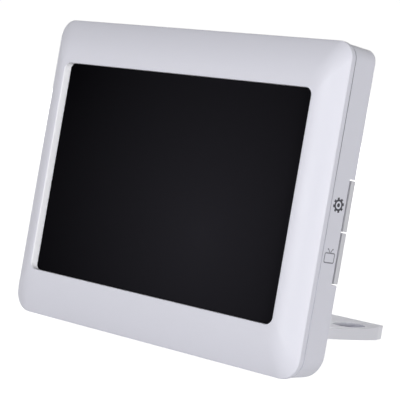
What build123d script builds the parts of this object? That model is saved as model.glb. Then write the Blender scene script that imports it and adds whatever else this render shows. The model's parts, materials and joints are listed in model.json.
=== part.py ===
from build123d import *

import math
import os

os.makedirs("parts", exist_ok=True)

# Tabletop digital photo frame: a display in a white moulded case that leans back on a fold-out leg.
# Millimetres and degrees. Across runs to the right, up runs up the leaning panel,
# and depth runs back from the front edge of the window.

# Window and front bezel
window_width = 162.2
window_height = 110.8
window_radius = 3.0
bevel_side = 1.2
bevel_end = 0.15
crest_land = 0.2
lip_rise = 2.9
rim_edge = 0.8
case_width = 192.4
case_height = 157.5
case_top_radius = 8.6
case_bottom_radius = 10.5
pillow_drop = 7.3
pillow_turn = 30.0
pillow_sections = 7
side_lip = 3.0
wall = 2.2

# Rear cover
cover_inset = 0.4
groove_depth = 1.0
groove_height = 1.05
cover_length = 15.85
cover_draft = 1.0
cover_edge_radius = 0.6
cover_top_growth = -1.8
cover_bottom_growth = 2.8

# Display stack behind the window
lens_seat = 3.0
lens_thickness = 1.8
lens_fit = 0.2
gasket_width = 3.0
gasket_thickness = 0.6
glass_inset = 1.5
glass_thickness = 1.4
guide_thickness = 2.6
tray_sheet = 0.6
tray_fit = 0.2
tray_rim_gap = 0.2
tab_width = 9.0
tab_reach = 8.0
tab_across = 60.0

# Fold-out leg
leg_side_margin = 21.7
leg_top_margin = 50.7
leg_thickness = 5.8
leg_middle_above = 1.3
leg_middle_below = 4.2
leg_tip_above = 3.15
leg_tip_below = 3.7
leg_rise = 1.3
leg_facet_length = 9.5
leg_facet_inset = 3.3
leg_corner_radius = 1.0
leg_hole_width = 13.0
leg_hole_length = 19.0
leg_hole_radius = 6.0
leg_hole_side_wall = 3.5
leg_hole_rear_wall = 11.9
hinge_depth = 19.9
hinge_height = 21.5
pin_radius = 1.5
pin_in_leg = 12.0
pin_in_cover = 7.0
pin_press_fit = 0.02
pin_running_fit = 0.06
bearing_radius = 4.2
washer_radius = 2.8
washer_thickness = 0.6
washer_gap = 0.3
leg_pad_length = 132.0
leg_pad_width = 5.0
leg_pad_setback = 1.0
leg_pad_seat = 0.8
leg_pad_proud = 0.6
pad_fit = 0.1

# Recess in the back for the folded leg
recess_floor_gap = 0.8
recess_root_gap = 0.7
recess_tip_gap = 1.2
recess_radius = 1.0
recess_wall = 1.8
scoop_width = 34.0
scoop_reach = 9.0

# Rubber feet under the case
foot_length = 16.0
foot_width = 4.5
foot_across = 64.0
foot_setback = 1.8
foot_seat = 0.8
foot_proud = 1.2

# Keys at the rear right corner
key_length = 23.95
key_width = 8.0
key_height = 3.3
key_gap = 0.6
key_front_gap = 1.8
key_side_gap = 0.6
key_proud = 0.4
key_edge_radius = 0.5
keys_below_middle = 7.75
key_travel = 0.6
key_stem_offset = 2.0
key_stem_width = 3.0
key_stem_length = 10.0
key_stem_fit = 0.2
key_hook_reach = 0.9
key_hook_height = 0.9
key_stem_end = 0.2
rebate_floor_wall = 1.6

# Switches under the keys
switch_width = 6.0
switch_gap = 0.2
plunger_radius = 1.5
plunger_fit = 0.08
plunger_engagement = 1.0
plunger_spare = 0.1

# Circuit boards
board_thickness = 1.6
board_back_depth = 13.6
board_edge_gap = 2.1
main_board_left_gap = 5.6
board_key_gap = 18.07
board_tube_gap = 1.0
board_post_radius = 2.6
board_post_left = 20.0
board_post_right = 8.0
board_post_edge = 3.4
key_board_width = 9.0
key_board_overhang = 13.5
key_board_wall_gap = 0.5
key_post_gap = 4.0
shield_length = 34.0
shield_width = 22.0
shield_height = 2.6
shield_sheet = 0.3
coil_width = 8.0
coil_height = 4.0
capacitor_radius = 3.15
capacitor_height = 5.4
connector_length = 34.0
connector_width = 4.5
connector_height = 1.4
ribbon_width = 30.0
ribbon_thickness = 0.3
ribbon_lap = 12.0
ribbon_bend = 1.2
key_ribbon_width = 5.0
key_ribbon_lap = 5.0

# Inlets in the left side
jack_width = 6.0
jack_height = 5.6
jack_length = 12.0
jack_nose_radius = 2.6
jack_bore_radius = 1.8
jack_bore_depth = 9.5
jack_pin_radius = 0.65
jack_pin_length = 8.0
jack_wall_gap = 0.1
usb_width = 13.1
usb_height = 5.7
usb_length = 14.0
usb_sheet = 0.4
usb_tongue_width = 11.1
usb_tongue_height = 1.9
usb_tongue_length = 9.0
usb_plug_length = 3.0
usb_edge = 8.0
inlet_gap = 3.0
inlet_fit = 0.3
inlet_recess = 0.8

# Speaker behind slots at the bottom
speaker_length = 30.0
speaker_width = 12.0
speaker_height = 5.0
speaker_radius = 3.0
speaker_rim = 1.2
speaker_across = -40.0
speaker_up_from_edge = 9.5
cone_thickness = 0.5
cone_fit = 0.1
slot_count = 6
slot_width = 1.4
slot_length = 9.0
slot_pitch = 4.0

# Vents in the back
vent_count = 11
vent_width = 1.6
vent_length = 14.0
vent_pitch = 5.0
vent_below_top = 31.0

# Screws
screw_shank_radius = 1.2
screw_head_radius = 2.4
screw_head_height = 1.7
screw_fit = 0.05
screw_clearance = 0.3
screw_bite = 4.0
screw_tip_gap = 0.4
case_screw_side = 11.9
case_screw_edge = 11.5
case_boss_radius = 3.0
case_boss_past_seam = 1.0
case_shoulder = 2.6
case_head_sink = 6.0
lcd_screw_bite = 3.5
boss_sink = 1.2

# Depths of the main faces
crease_depth = pillow_drop - lip_rise
seam_depth = crease_depth + side_lip
body_depth = seam_depth + groove_height
rear_depth = body_depth + cover_length
lens_back = rim_edge + lens_thickness
glass_front = lens_back + gasket_thickness
guide_front = glass_front + glass_thickness
tray_front = guide_front + guide_thickness
tray_back = tray_front + tray_sheet
board_front_depth = board_back_depth - board_thickness
rear_inside = rear_depth - wall

# Half sizes of the pillow-shaped face, from its crest to its outer edge
crest_half_width = window_width / 2 + bevel_side + crest_land
crest_half_height = window_height / 2 + bevel_end + crest_land
crest_radius = window_radius + bevel_end + crest_land
pillow_side = case_width / 2 - crest_half_width
pillow_end = case_height / 2 - crest_half_height


def cover_shrink(depth):
    """How far the rear cover's side stands in from the bezel's side at a depth."""
    return cover_inset + (depth - body_depth) * math.tan(math.radians(cover_draft))


# The folded leg leaves a margin of the case at each side of it and above it
leg_width = case_width - 2 * leg_side_margin
leg_length = case_height - hinge_height - leg_top_margin

# The lean of the panel follows from the case's feet and the leg's pad, which stand on one floor
hinge_up = hinge_height - case_height / 2
foot_floor_depth = rear_depth - foot_setback
foot_floor_up = cover_shrink(foot_floor_depth) - case_height / 2 - foot_proud
leg_rise_cos = math.cos(math.radians(leg_rise))
leg_rise_sin = math.sin(math.radians(leg_rise))


def leg_point(along, off):
    """Depth and height of a point on the open leg, along it from the hinge and off its middle."""
    depth = hinge_depth + along * leg_rise_cos - off * leg_rise_sin
    up = hinge_up + along * leg_rise_sin + off * leg_rise_cos
    return depth, up


pad_floor_depth, pad_floor_up = leg_point(leg_length - leg_pad_setback, -leg_tip_below - leg_pad_proud)
lean = math.atan2(pad_floor_up - foot_floor_up, pad_floor_depth - foot_floor_depth)
lean_cos = math.cos(lean)
lean_sin = math.sin(lean)

# The origin is on the floor, midway between the foremost point of the bezel and the leg's tip
pillow_angle = math.radians(pillow_turn)
pillow_rise = 1 - math.cos(pillow_angle)
foremost = math.atan(pillow_end * pillow_rise * math.tan(lean) / (math.sin(pillow_angle) * pillow_drop))
foremost_depth = pillow_drop * (1 - math.cos(foremost)) / pillow_rise - lip_rise
foremost_up = -crest_half_height - pillow_end * math.sin(foremost) / math.sin(pillow_angle)
tip_depth, tip_up = leg_point(leg_length, leg_tip_above)
front_reach = foremost_depth * lean_cos + foremost_up * lean_sin
rear_reach = tip_depth * lean_cos + tip_up * lean_sin
floor_drop = foot_floor_up * lean_cos - foot_floor_depth * lean_sin

panel = Plane(
    origin=(0, -(front_reach + rear_reach) / 2, -floor_drop),
    x_dir=(1, 0, 0),
    z_dir=(0, -lean_cos, lean_sin),
)
floor = Plane.XY
back = -panel.z_dir
front_axis = Axis(panel.origin, panel.z_dir)


def level(depth):
    """Plane parallel to the panel, at a depth behind the front edge of the window."""
    return panel.offset(-depth)


def section(across):
    """Plane square to the panel at a place across it, with depth and up as its two directions."""
    return Plane(origin=panel.from_local_coords((across, 0, 0)), x_dir=back, z_dir=panel.x_dir)


def pillow_share(index):
    """Share of the face's width and of its fall at one section, from its crest outwards."""
    turn = pillow_angle * index / (pillow_sections - 1)
    return math.sin(turn) / math.sin(pillow_angle), (1 - math.cos(turn)) / pillow_rise


def draw_outline(width, height, top_radius, bottom_radius):
    """Draw a rectangle in the sketch at hand, with its upper and its lower corners rounded."""
    upper = fillet(Rectangle(width, height).vertices().group_by(Axis.Y)[-1], top_radius)
    fillet(upper.vertices().group_by(Axis.Y)[0], bottom_radius)


def face_outline(share, inset=0.0):
    """Width, height and corner radii of the face at a share of the way out, less an inset all round."""
    width = 2 * (crest_half_width + pillow_side * share - inset)
    height = 2 * (crest_half_height + pillow_end * share - inset)
    top_radius = crest_radius + (case_top_radius - crest_radius) * share - inset
    bottom_radius = crest_radius + (case_bottom_radius - crest_radius) * share - inset
    return width, height, top_radius, bottom_radius


def cavity_depth(up):
    """Depth of the bezel's inner face at a height on its upper or lower side."""
    share = (abs(up) - crest_half_height) / pillow_end
    turn = math.asin(share * math.sin(pillow_angle))
    return pillow_drop * (1 - math.cos(turn)) / pillow_rise + rim_edge


def cover_outline(depth, inset=0.0):
    """Width, height and corner radii of the rear cover at a depth, less an inset all round."""
    shrink = cover_shrink(depth) + inset
    share = (depth - body_depth) / cover_length
    return (
        case_width - 2 * shrink,
        case_height - 2 * shrink,
        case_top_radius - shrink + cover_top_growth * share,
        case_bottom_radius - shrink + cover_bottom_growth * share,
    )


def four_points(across, up):
    """The four points at a distance across and up from the panel's middle."""
    return [(side * across, end * up) for side in (-1, 1) for end in (-1, 1)]


def window_outline(grow):
    """Width, height and corner radius of the window, grown all round."""
    return window_width + 2 * grow, window_height + 2 * grow, window_radius + max(grow, 0)


# Places that several pieces share
case_screw_points = four_points(case_width / 2 - case_screw_side, case_height / 2 - case_screw_edge)
case_boss_end = seam_depth + case_boss_past_seam
case_screw_seat = rear_depth - case_head_sink
case_tube_radius = screw_head_radius + screw_clearance + wall / 2
tray_outset = lens_seat - glass_inset + tray_fit + tray_sheet
tray_half_height = window_height / 2 + tray_outset
lcd_screw_up = tray_half_height + tab_reach / 2
lcd_screw_points = four_points(tab_across, lcd_screw_up)

recess_width = leg_width + 2 * (washer_thickness + 2 * washer_gap)
recess_bottom = hinge_up - leg_thickness / 2 - recess_root_gap
recess_top = hinge_up + leg_length + recess_tip_gap
recess_floor = hinge_depth - leg_thickness / 2 - recess_floor_gap
recess_middle = (recess_bottom + recess_top) / 2

key_pitch = key_length + key_gap
upper_key_up = key_pitch / 2 - keys_below_middle
lower_key_up = -key_pitch / 2 - keys_below_middle
key_ups = {"upper": upper_key_up, "lower": lower_key_up}
key_outer = case_width / 2 - cover_shrink(rear_depth)
key_across = key_outer - key_width / 2
stem_across = key_across - key_stem_offset
key_rear = rear_depth + key_proud
key_front = key_rear - key_height
rebate_floor = key_front - key_front_gap
rebate_inside = rebate_floor - rebate_floor_wall
rebate_left = key_outer - key_width - key_side_gap
rebate_height = 2 * key_length + 3 * key_gap
stem_end = rebate_inside - key_hook_height - key_stem_end
switch_face = stem_end - key_travel - switch_gap
switch_height = switch_face - board_back_depth

cover_half_inside = case_width / 2 - cover_shrink(rear_inside) - wall
board_bottom = recess_top + recess_wall + board_edge_gap
board_top = case_height / 2 - case_screw_edge - case_tube_radius - board_tube_gap
main_board_height = board_top - board_bottom
board_middle = (board_bottom + board_top) / 2
key_board_right = cover_half_inside - key_board_wall_gap
key_board_across = key_board_right - key_board_width / 2
board_left = main_board_left_gap - cover_half_inside
board_right = key_board_right - key_board_width - board_key_gap
board_across = (board_left + board_right) / 2
main_board_length = board_right - board_left
board_screw_points = [
    (across, up)
    for across in (board_left + board_post_left, board_right - board_post_right)
    for up in (board_bottom + board_post_edge, board_top - board_post_edge)
]
key_board_height = rebate_height + 2 * key_board_overhang
key_board_screw_points = [
    (key_board_across, -keys_below_middle + end * (rebate_height / 2 + key_post_gap)) for end in (-1, 1)
]
post_points = board_screw_points + key_board_screw_points
post_screw_depth = rear_inside - screw_tip_gap

usb_up = board_top - usb_edge
jack_up = usb_up - usb_width / 2 - inlet_gap - jack_width / 2
jack_depth = board_back_depth + jack_height / 2
usb_depth = board_back_depth + usb_height / 2
inlet_face = cover_shrink(board_back_depth) - case_width / 2 + inlet_recess
jack_shoulder = jack_wall_gap - cover_half_inside
speaker_up = speaker_up_from_edge - case_height / 2
connector_up = board_middle
connector_across = board_across
connector_face = board_front_depth - connector_height


# Front bezel: pillow-shaped ring round the window, with bosses for the display and the case screws
with BuildPart() as front_bezel:
    for index in range(pillow_sections):
        share, fall = pillow_share(index)
        with BuildSketch(level(pillow_drop * fall - lip_rise)):
            draw_outline(*face_outline(share))
    loft()
    with BuildSketch(level(crease_depth)):
        draw_outline(*face_outline(1))
    extrude(amount=-side_lip)
    for index in range(pillow_sections):
        share, fall = pillow_share(index)
        with BuildSketch(level(pillow_drop * fall + rim_edge)):
            draw_outline(*face_outline(share, wall * share))
    loft(mode=Mode.SUBTRACT)
    with BuildSketch(level(pillow_drop + rim_edge)):
        draw_outline(*face_outline(1, wall))
    extrude(amount=-side_lip, mode=Mode.SUBTRACT)
    with BuildSketch(level(rim_edge)):
        RectangleRounded(*window_outline(lens_seat + lens_fit))
    extrude(amount=-lens_thickness, mode=Mode.SUBTRACT)
    for end in (-1, 1):
        boss_root = cavity_depth(lcd_screw_up) - boss_sink
        with BuildSketch(level(tray_front)):
            with Locations((-tab_across, end * lcd_screw_up), (tab_across, end * lcd_screw_up)):
                Circle(case_boss_radius)
        extrude(amount=tray_front - boss_root)
    case_boss_root = cavity_depth(case_height / 2 - case_screw_edge) - boss_sink
    with BuildSketch(level(case_boss_end)):
        with Locations(*case_screw_points):
            Circle(case_boss_radius)
    extrude(amount=case_boss_end - case_boss_root)
    with BuildSketch(level(case_boss_end)):
        with Locations(*case_screw_points):
            Circle(screw_shank_radius + screw_fit)
    extrude(amount=screw_bite + screw_tip_gap, mode=Mode.SUBTRACT)
    with BuildSketch(level(tray_front)):
        with Locations(*lcd_screw_points):
            Circle(screw_shank_radius + screw_fit)
    extrude(amount=lcd_screw_bite + screw_tip_gap, mode=Mode.SUBTRACT)
    with BuildSketch(level(-lip_rise)):
        RectangleRounded(
            window_width + 2 * bevel_side,
            window_height + 2 * bevel_end,
            window_radius + bevel_end,
        )
    with BuildSketch(level(0)):
        RectangleRounded(*window_outline(0))
    loft(ruled=True, mode=Mode.SUBTRACT)
    with BuildSketch(level(0)):
        RectangleRounded(*window_outline(0))
    extrude(amount=-rim_edge, mode=Mode.SUBTRACT)

# Rear cover: drafted shell with the leg's recess, the keys' rebate, posts, inlets and slots
with BuildPart() as rear_cover:
    with BuildSketch(level(seam_depth)):
        draw_outline(*cover_outline(body_depth, groove_depth))
    extrude(amount=-groove_height)
    with BuildSketch(level(body_depth)):
        draw_outline(*cover_outline(body_depth))
    with BuildSketch(level(rear_depth)):
        draw_outline(*cover_outline(rear_depth))
    loft(ruled=True)
    fillet(rear_cover.faces().sort_by(front_axis)[0].edges(), cover_edge_radius)
    with BuildSketch(level(seam_depth)):
        draw_outline(*cover_outline(body_depth, wall))
    with BuildSketch(level(rear_inside)):
        draw_outline(*cover_outline(rear_inside, wall))
    loft(ruled=True, mode=Mode.SUBTRACT)

    # Tray round the leg's recess, bearings for its pins, and the block behind the keys
    with BuildSketch(level(recess_floor - recess_wall)):
        with Locations((0, recess_middle)):
            RectangleRounded(
                recess_width + 2 * recess_wall,
                recess_top - recess_bottom + 2 * recess_wall,
                recess_radius + recess_wall,
            )
    extrude(amount=recess_floor - recess_wall - rear_inside - wall / 2)
    for side in (-1, 1):
        with BuildSketch(section(side * recess_width / 2)):
            with Locations((hinge_depth, hinge_up)):
                Circle(bearing_radius)
        extrude(amount=side * pin_in_cover)
    with BuildSketch(level(rebate_inside)):
        with Locations(((rebate_left - rebate_floor_wall + cover_half_inside) / 2, -keys_below_middle)):
            Rectangle(
                cover_half_inside - rebate_left + rebate_floor_wall + wall,
                rebate_height + 2 * rebate_floor_wall,
            )
    extrude(amount=rebate_inside - rear_inside - wall / 2)

    # Screw posts and the tubes round the case screws
    with BuildSketch(level(board_back_depth)):
        with Locations(*post_points):
            Circle(board_post_radius)
    extrude(amount=board_back_depth - rear_inside - wall / 2)
    with BuildSketch(level(case_boss_end)):
        with Locations(*case_screw_points):
            Circle(case_tube_radius)
    extrude(amount=case_boss_end - rear_inside - wall / 2)

    # Recess for the folded leg, with a scoop for a finger at the leg's tip
    with BuildSketch(level(recess_floor)):
        with Locations((0, recess_middle)):
            RectangleRounded(recess_width, recess_top - recess_bottom, recess_radius)
    extrude(amount=recess_floor - rear_depth, mode=Mode.SUBTRACT)
    with BuildSketch(level(rear_inside)):
        with Locations((0, recess_top)):
            SlotOverall(scoop_width, 2 * scoop_reach)
    extrude(amount=rear_inside - rear_depth, mode=Mode.SUBTRACT)
    with BuildSketch(section(0)):
        with Locations((hinge_depth, hinge_up)):
            Circle(pin_radius + pin_running_fit)
    extrude(amount=recess_width / 2 + pin_in_cover, both=True, mode=Mode.SUBTRACT)

    # Rebate for the keys and the slots for their stems
    with BuildSketch(level(rebate_floor)):
        with Locations(((rebate_left + case_width / 2) / 2, -keys_below_middle)):
            Rectangle(case_width / 2 - rebate_left, rebate_height)
    extrude(amount=rebate_floor - rear_depth, mode=Mode.SUBTRACT)
    with BuildSketch(level(rebate_floor)):
        with Locations((stem_across, upper_key_up), (stem_across, lower_key_up)):
            Rectangle(key_stem_width + 2 * key_stem_fit, key_stem_length + 2 * key_stem_fit)
    extrude(amount=rebate_floor_wall, mode=Mode.SUBTRACT)

    # Screw holes
    with BuildSketch(level(board_back_depth)):
        with Locations(*post_points):
            Circle(screw_shank_radius + screw_fit)
    extrude(amount=board_back_depth - rear_inside, mode=Mode.SUBTRACT)
    with BuildSketch(level(case_boss_end)):
        with Locations(*case_screw_points):
            Circle(screw_shank_radius + screw_clearance)
    extrude(amount=case_boss_end - rear_depth, mode=Mode.SUBTRACT)
    with BuildSketch(level(case_screw_seat)):
        with Locations(*case_screw_points):
            Circle(screw_head_radius + screw_clearance)
    extrude(amount=case_screw_seat - rear_depth, mode=Mode.SUBTRACT)

    # Pockets for the feet, in the underside
    for side in (-1, 1):
        with BuildSketch(section(side * foot_across)):
            with Locations((foot_floor_depth + pad_fit, foot_floor_up + foot_proud + foot_seat)):
                Rectangle(
                    foot_width + 2 * pad_fit, foot_seat + foot_proud, align=(Align.MAX, Align.MAX)
                )
        extrude(amount=foot_length / 2 + pad_fit, both=True, mode=Mode.SUBTRACT)

    # Openings for the two inlets in the left side
    with BuildSketch(section(-cover_half_inside)):
        with Locations((jack_depth, jack_up)):
            Circle(jack_nose_radius + inlet_fit)
        with Locations((usb_depth, usb_up)):
            Rectangle(usb_height + 2 * inlet_fit, usb_width + 2 * inlet_fit)
    extrude(amount=2 * wall, both=True, mode=Mode.SUBTRACT)

    # Slots for the speaker and for air
    with BuildSketch(level(rear_inside)):
        with Locations((speaker_across, speaker_up)):
            with GridLocations(slot_pitch, slot_pitch, slot_count, 1):
                SlotOverall(slot_length, slot_width, rotation=90)
        with Locations((connector_across, case_height / 2 - vent_below_top)):
            with GridLocations(vent_pitch, vent_pitch, vent_count, 1):
                SlotOverall(vent_length, vent_width, rotation=90)
    extrude(amount=-wall, mode=Mode.SUBTRACT)

# Dark window behind the bezel's rim
with BuildPart() as display_window:
    with BuildSketch(level(rim_edge)):
        RectangleRounded(*window_outline(lens_seat))
    extrude(amount=-lens_thickness)

# Foam tape between the window and the display
with BuildPart() as window_gasket:
    with BuildSketch(level(lens_back)):
        RectangleRounded(*window_outline(lens_seat - glass_inset))
        RectangleRounded(*window_outline(lens_seat - glass_inset - gasket_width), mode=Mode.SUBTRACT)
    extrude(amount=-gasket_thickness)

# Liquid-crystal glass and the light guide behind it
with BuildPart() as lcd_glass:
    with BuildSketch(level(glass_front)):
        Rectangle(*window_outline(lens_seat - glass_inset)[:2])
    extrude(amount=-glass_thickness)

with BuildPart() as light_guide:
    with BuildSketch(level(guide_front)):
        Rectangle(*window_outline(lens_seat - glass_inset)[:2])
    extrude(amount=-guide_thickness)

# Steel tray that holds the display, with four tabs screwed to the bezel's bosses
with BuildPart() as lcd_backplate:
    with BuildSketch(level(glass_front + tray_rim_gap)):
        Rectangle(*window_outline(tray_outset)[:2])
    extrude(amount=glass_front + tray_rim_gap - tray_back)
    with BuildSketch(level(glass_front)):
        Rectangle(*window_outline(tray_outset - tray_sheet)[:2])
    extrude(amount=glass_front - tray_front, mode=Mode.SUBTRACT)
    with BuildSketch(level(tray_front)):
        with Locations(*lcd_screw_points):
            Rectangle(tab_width, tab_reach)
    extrude(amount=-tray_sheet)
    with BuildSketch(level(tray_front)):
        with Locations(*lcd_screw_points):
            Circle(screw_shank_radius + screw_clearance)
    extrude(amount=-tray_sheet, mode=Mode.SUBTRACT)


def make_screws(points, seat, tip):
    """Pan-head screws that point forwards, with their heads on a seat and their tips at a depth."""
    with BuildPart() as screws:
        with BuildSketch(level(seat)):
            with Locations(*points):
                Circle(screw_shank_radius)
        extrude(amount=seat - tip)
        with BuildSketch(level(seat)):
            with Locations(*points):
                Circle(screw_head_radius)
        extrude(amount=-screw_head_height)
        head_rims = screws.faces().filter_by(panel).group_by(front_axis)[0].edges()
        fillet(head_rims, screw_head_height / 3)
    return screws


lcd_screws = make_screws(lcd_screw_points, tray_back, tray_front - lcd_screw_bite)
case_screws = make_screws(case_screw_points, case_screw_seat, case_boss_end - screw_bite)


def make_post_screws(points):
    """Pan-head screws that point backwards, through a board into the rear cover's posts."""
    with BuildPart() as screws:
        with BuildSketch(level(board_front_depth)):
            with Locations(*points):
                Circle(screw_shank_radius)
        extrude(amount=board_front_depth - post_screw_depth)
        with BuildSketch(level(board_front_depth)):
            with Locations(*points):
                Circle(screw_head_radius)
        extrude(amount=screw_head_height)
        head_rims = screws.faces().filter_by(panel).group_by(front_axis)[-1].edges()
        fillet(head_rims, screw_head_height / 3)
    return screws


board_screws = make_post_screws(board_screw_points)
key_board_screws = make_post_screws(key_board_screw_points)

# Main board on four posts of the rear cover
with BuildPart() as main_board:
    with BuildSketch(level(board_front_depth)):
        with Locations((board_across, board_middle)):
            Rectangle(main_board_length, main_board_height)
        with Locations(*board_screw_points):
            Circle(screw_shank_radius + screw_clearance, mode=Mode.SUBTRACT)
    extrude(amount=-board_thickness)

# Pressed shield over the processor
with BuildPart() as processor_shield:
    with BuildSketch(level(board_back_depth)):
        with Locations((connector_across, board_middle)):
            RectangleRounded(shield_length, shield_width, 2 * shield_sheet)
    extrude(amount=-shield_height)
    with BuildSketch(level(board_back_depth)):
        with Locations((connector_across, board_middle)):
            Rectangle(shield_length - 2 * shield_sheet, shield_width - 2 * shield_sheet)
    extrude(amount=shield_sheet - shield_height, mode=Mode.SUBTRACT)

# Power coils and capacitors behind the board, and the display's connector in front of it
with BuildPart() as board_parts:
    parts_gap = shield_length / 2 + coil_width
    with BuildSketch(level(board_back_depth)):
        with Locations(*[(connector_across + side * parts_gap, board_middle) for side in (-1, 1)]):
            RectangleRounded(coil_width, coil_width, coil_width / 8)
    extrude(amount=-coil_height)
    with BuildSketch(level(board_back_depth)):
        with Locations((connector_across + parts_gap + 2 * coil_width, board_middle)):
            with GridLocations(coil_width, coil_width, 1, 2):
                Circle(capacitor_radius)
    extrude(amount=-capacitor_height)
    with BuildSketch(level(board_front_depth)):
        with Locations((connector_across, connector_up)):
            Rectangle(connector_length, connector_width)
    extrude(amount=connector_height)

# Flat cable from the display's back to the connector
with BuildPart() as display_ribbon:
    ribbon_top = connector_up - connector_width / 2
    ribbon_step = connector_face + connector_height / 2 - tray_back
    with BuildSketch(section(connector_across - ribbon_width / 2)):
        with BuildLine():
            FilletPolyline(
                (tray_back, ribbon_top - ribbon_step - ribbon_lap),
                (tray_back, ribbon_top - ribbon_step),
                (tray_back + ribbon_step, ribbon_top - ribbon_step / 2),
                (tray_back + ribbon_step, ribbon_top),
                radius=ribbon_bend,
            )
            offset(amount=ribbon_thickness, side=Side.RIGHT)
        make_face()
    extrude(amount=ribbon_width)

# Strip board behind the keys
with BuildPart() as key_board:
    with BuildSketch(level(board_front_depth)):
        with Locations((key_board_across, -keys_below_middle)):
            Rectangle(key_board_width, key_board_height)
        with Locations(*key_board_screw_points):
            Circle(screw_shank_radius + screw_clearance, mode=Mode.SUBTRACT)
    extrude(amount=-board_thickness)

# Flat cable that lies on the front of both boards
with BuildPart() as key_ribbon:
    key_ribbon_left = board_right - key_ribbon_lap
    key_ribbon_up = board_bottom + key_ribbon_width
    key_ribbon_across = key_board_right - key_board_width + key_ribbon_width / 2
    key_ribbon_low = key_board_height / 2 - keys_below_middle - key_ribbon_lap
    key_ribbon_right = key_ribbon_across + key_ribbon_width / 2
    with BuildSketch(level(board_front_depth)):
        with Locations((key_ribbon_left, key_ribbon_up)):
            Rectangle(key_ribbon_right - key_ribbon_left, key_ribbon_width, align=(Align.MIN, Align.CENTER))
        with Locations((key_ribbon_across, key_ribbon_low)):
            Rectangle(
                key_ribbon_width, key_ribbon_up - key_ribbon_low, align=(Align.CENTER, Align.MIN)
            )
    extrude(amount=ribbon_thickness)

# Barrel inlet for power, with its centre pin
with BuildPart() as power_jack:
    with BuildSketch(section(jack_shoulder)):
        with Locations((jack_depth, jack_up)):
            Rectangle(jack_height, jack_width)
    extrude(amount=jack_length)
    with BuildSketch(section(inlet_face)):
        with Locations((jack_depth, jack_up)):
            Circle(jack_nose_radius)
    extrude(amount=jack_shoulder - inlet_face)
    with BuildSketch(section(inlet_face)):
        with Locations((jack_depth, jack_up)):
            Circle(jack_bore_radius)
            Circle(jack_pin_radius, mode=Mode.SUBTRACT)
    extrude(amount=jack_bore_depth, mode=Mode.SUBTRACT)
    with BuildSketch(section(inlet_face)):
        with Locations((jack_depth, jack_up)):
            Circle(jack_bore_radius)
    extrude(amount=jack_bore_depth - jack_pin_length, mode=Mode.SUBTRACT)

# Socket for a memory stick: pressed shell with a contact tongue
with BuildPart() as usb_socket:
    with BuildSketch(section(inlet_face)):
        with Locations((usb_depth, usb_up)):
            RectangleRounded(usb_height, usb_width, usb_sheet)
    extrude(amount=usb_length)
    with BuildSketch(section(inlet_face)):
        with Locations((usb_depth, usb_up)):
            Rectangle(usb_height - 2 * usb_sheet, usb_width - 2 * usb_sheet)
    extrude(amount=usb_length - usb_plug_length, mode=Mode.SUBTRACT)
    with BuildSketch(section(inlet_face + usb_length - usb_plug_length)):
        with Locations((usb_depth, usb_up)):
            Rectangle(usb_tongue_height, usb_tongue_width)
    extrude(amount=-usb_tongue_length)

# Speaker: a moulded frame on the rear wall and its cone
speaker_front = rear_inside - speaker_height
with BuildPart() as speaker_frame:
    with BuildSketch(level(speaker_front)):
        with Locations((speaker_across, speaker_up)):
            RectangleRounded(speaker_length, speaker_width, speaker_radius)
    extrude(amount=-speaker_height)
    with BuildSketch(level(rear_inside)):
        with Locations((speaker_across, speaker_up)):
            RectangleRounded(
                speaker_length - 2 * speaker_rim,
                speaker_width - 2 * speaker_rim,
                speaker_radius - speaker_rim,
            )
    extrude(amount=speaker_height / 2, mode=Mode.SUBTRACT)

with BuildPart() as speaker_cone:
    cone_length = speaker_length - 2 * speaker_rim - 2 * cone_fit
    cone_width = speaker_width - 2 * speaker_rim - 2 * cone_fit
    with BuildSketch(level(rear_inside - speaker_height / 2)):
        with Locations((speaker_across, speaker_up)):
            RectangleRounded(cone_length, cone_width, speaker_radius - speaker_rim - cone_fit)
    extrude(amount=-cone_thickness)
    with BuildSketch(level(rear_inside - speaker_height / 2 + cone_thickness)):
        with Locations((speaker_across, speaker_up)):
            SlotOverall(cone_length / 2, cone_width / 2)
    extrude(amount=-cone_thickness, taper=45)

# Rubber feet under the case, cut level with the floor
with BuildPart() as case_feet:
    for side in (-1, 1):
        with BuildSketch(section(side * foot_across)):
            with Locations((foot_floor_depth, foot_floor_up + foot_proud + foot_seat)):
                Rectangle(foot_width, foot_seat + foot_proud + foot_width, align=(Align.MAX, Align.MAX))
        extrude(amount=foot_length / 2, both=True)
    split(bisect_by=floor, keep=Keep.TOP)

# Open leg, with planes along its side and its top
hinge_point = panel.from_local_coords((0, hinge_up, -hinge_depth))
leg_side = Plane(
    origin=hinge_point,
    x_dir=back * leg_rise_cos + panel.y_dir * leg_rise_sin,
    z_dir=panel.x_dir,
)
leg_top = Plane(origin=hinge_point, x_dir=panel.x_dir, z_dir=leg_side.y_dir)
leg_half = leg_thickness / 2
leg_hole_across = leg_width / 2 - leg_hole_side_wall - leg_hole_width / 2
leg_hole_along = leg_length - leg_hole_rear_wall - leg_hole_length / 2
leg_pad_rear = leg_length - leg_pad_setback

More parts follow.
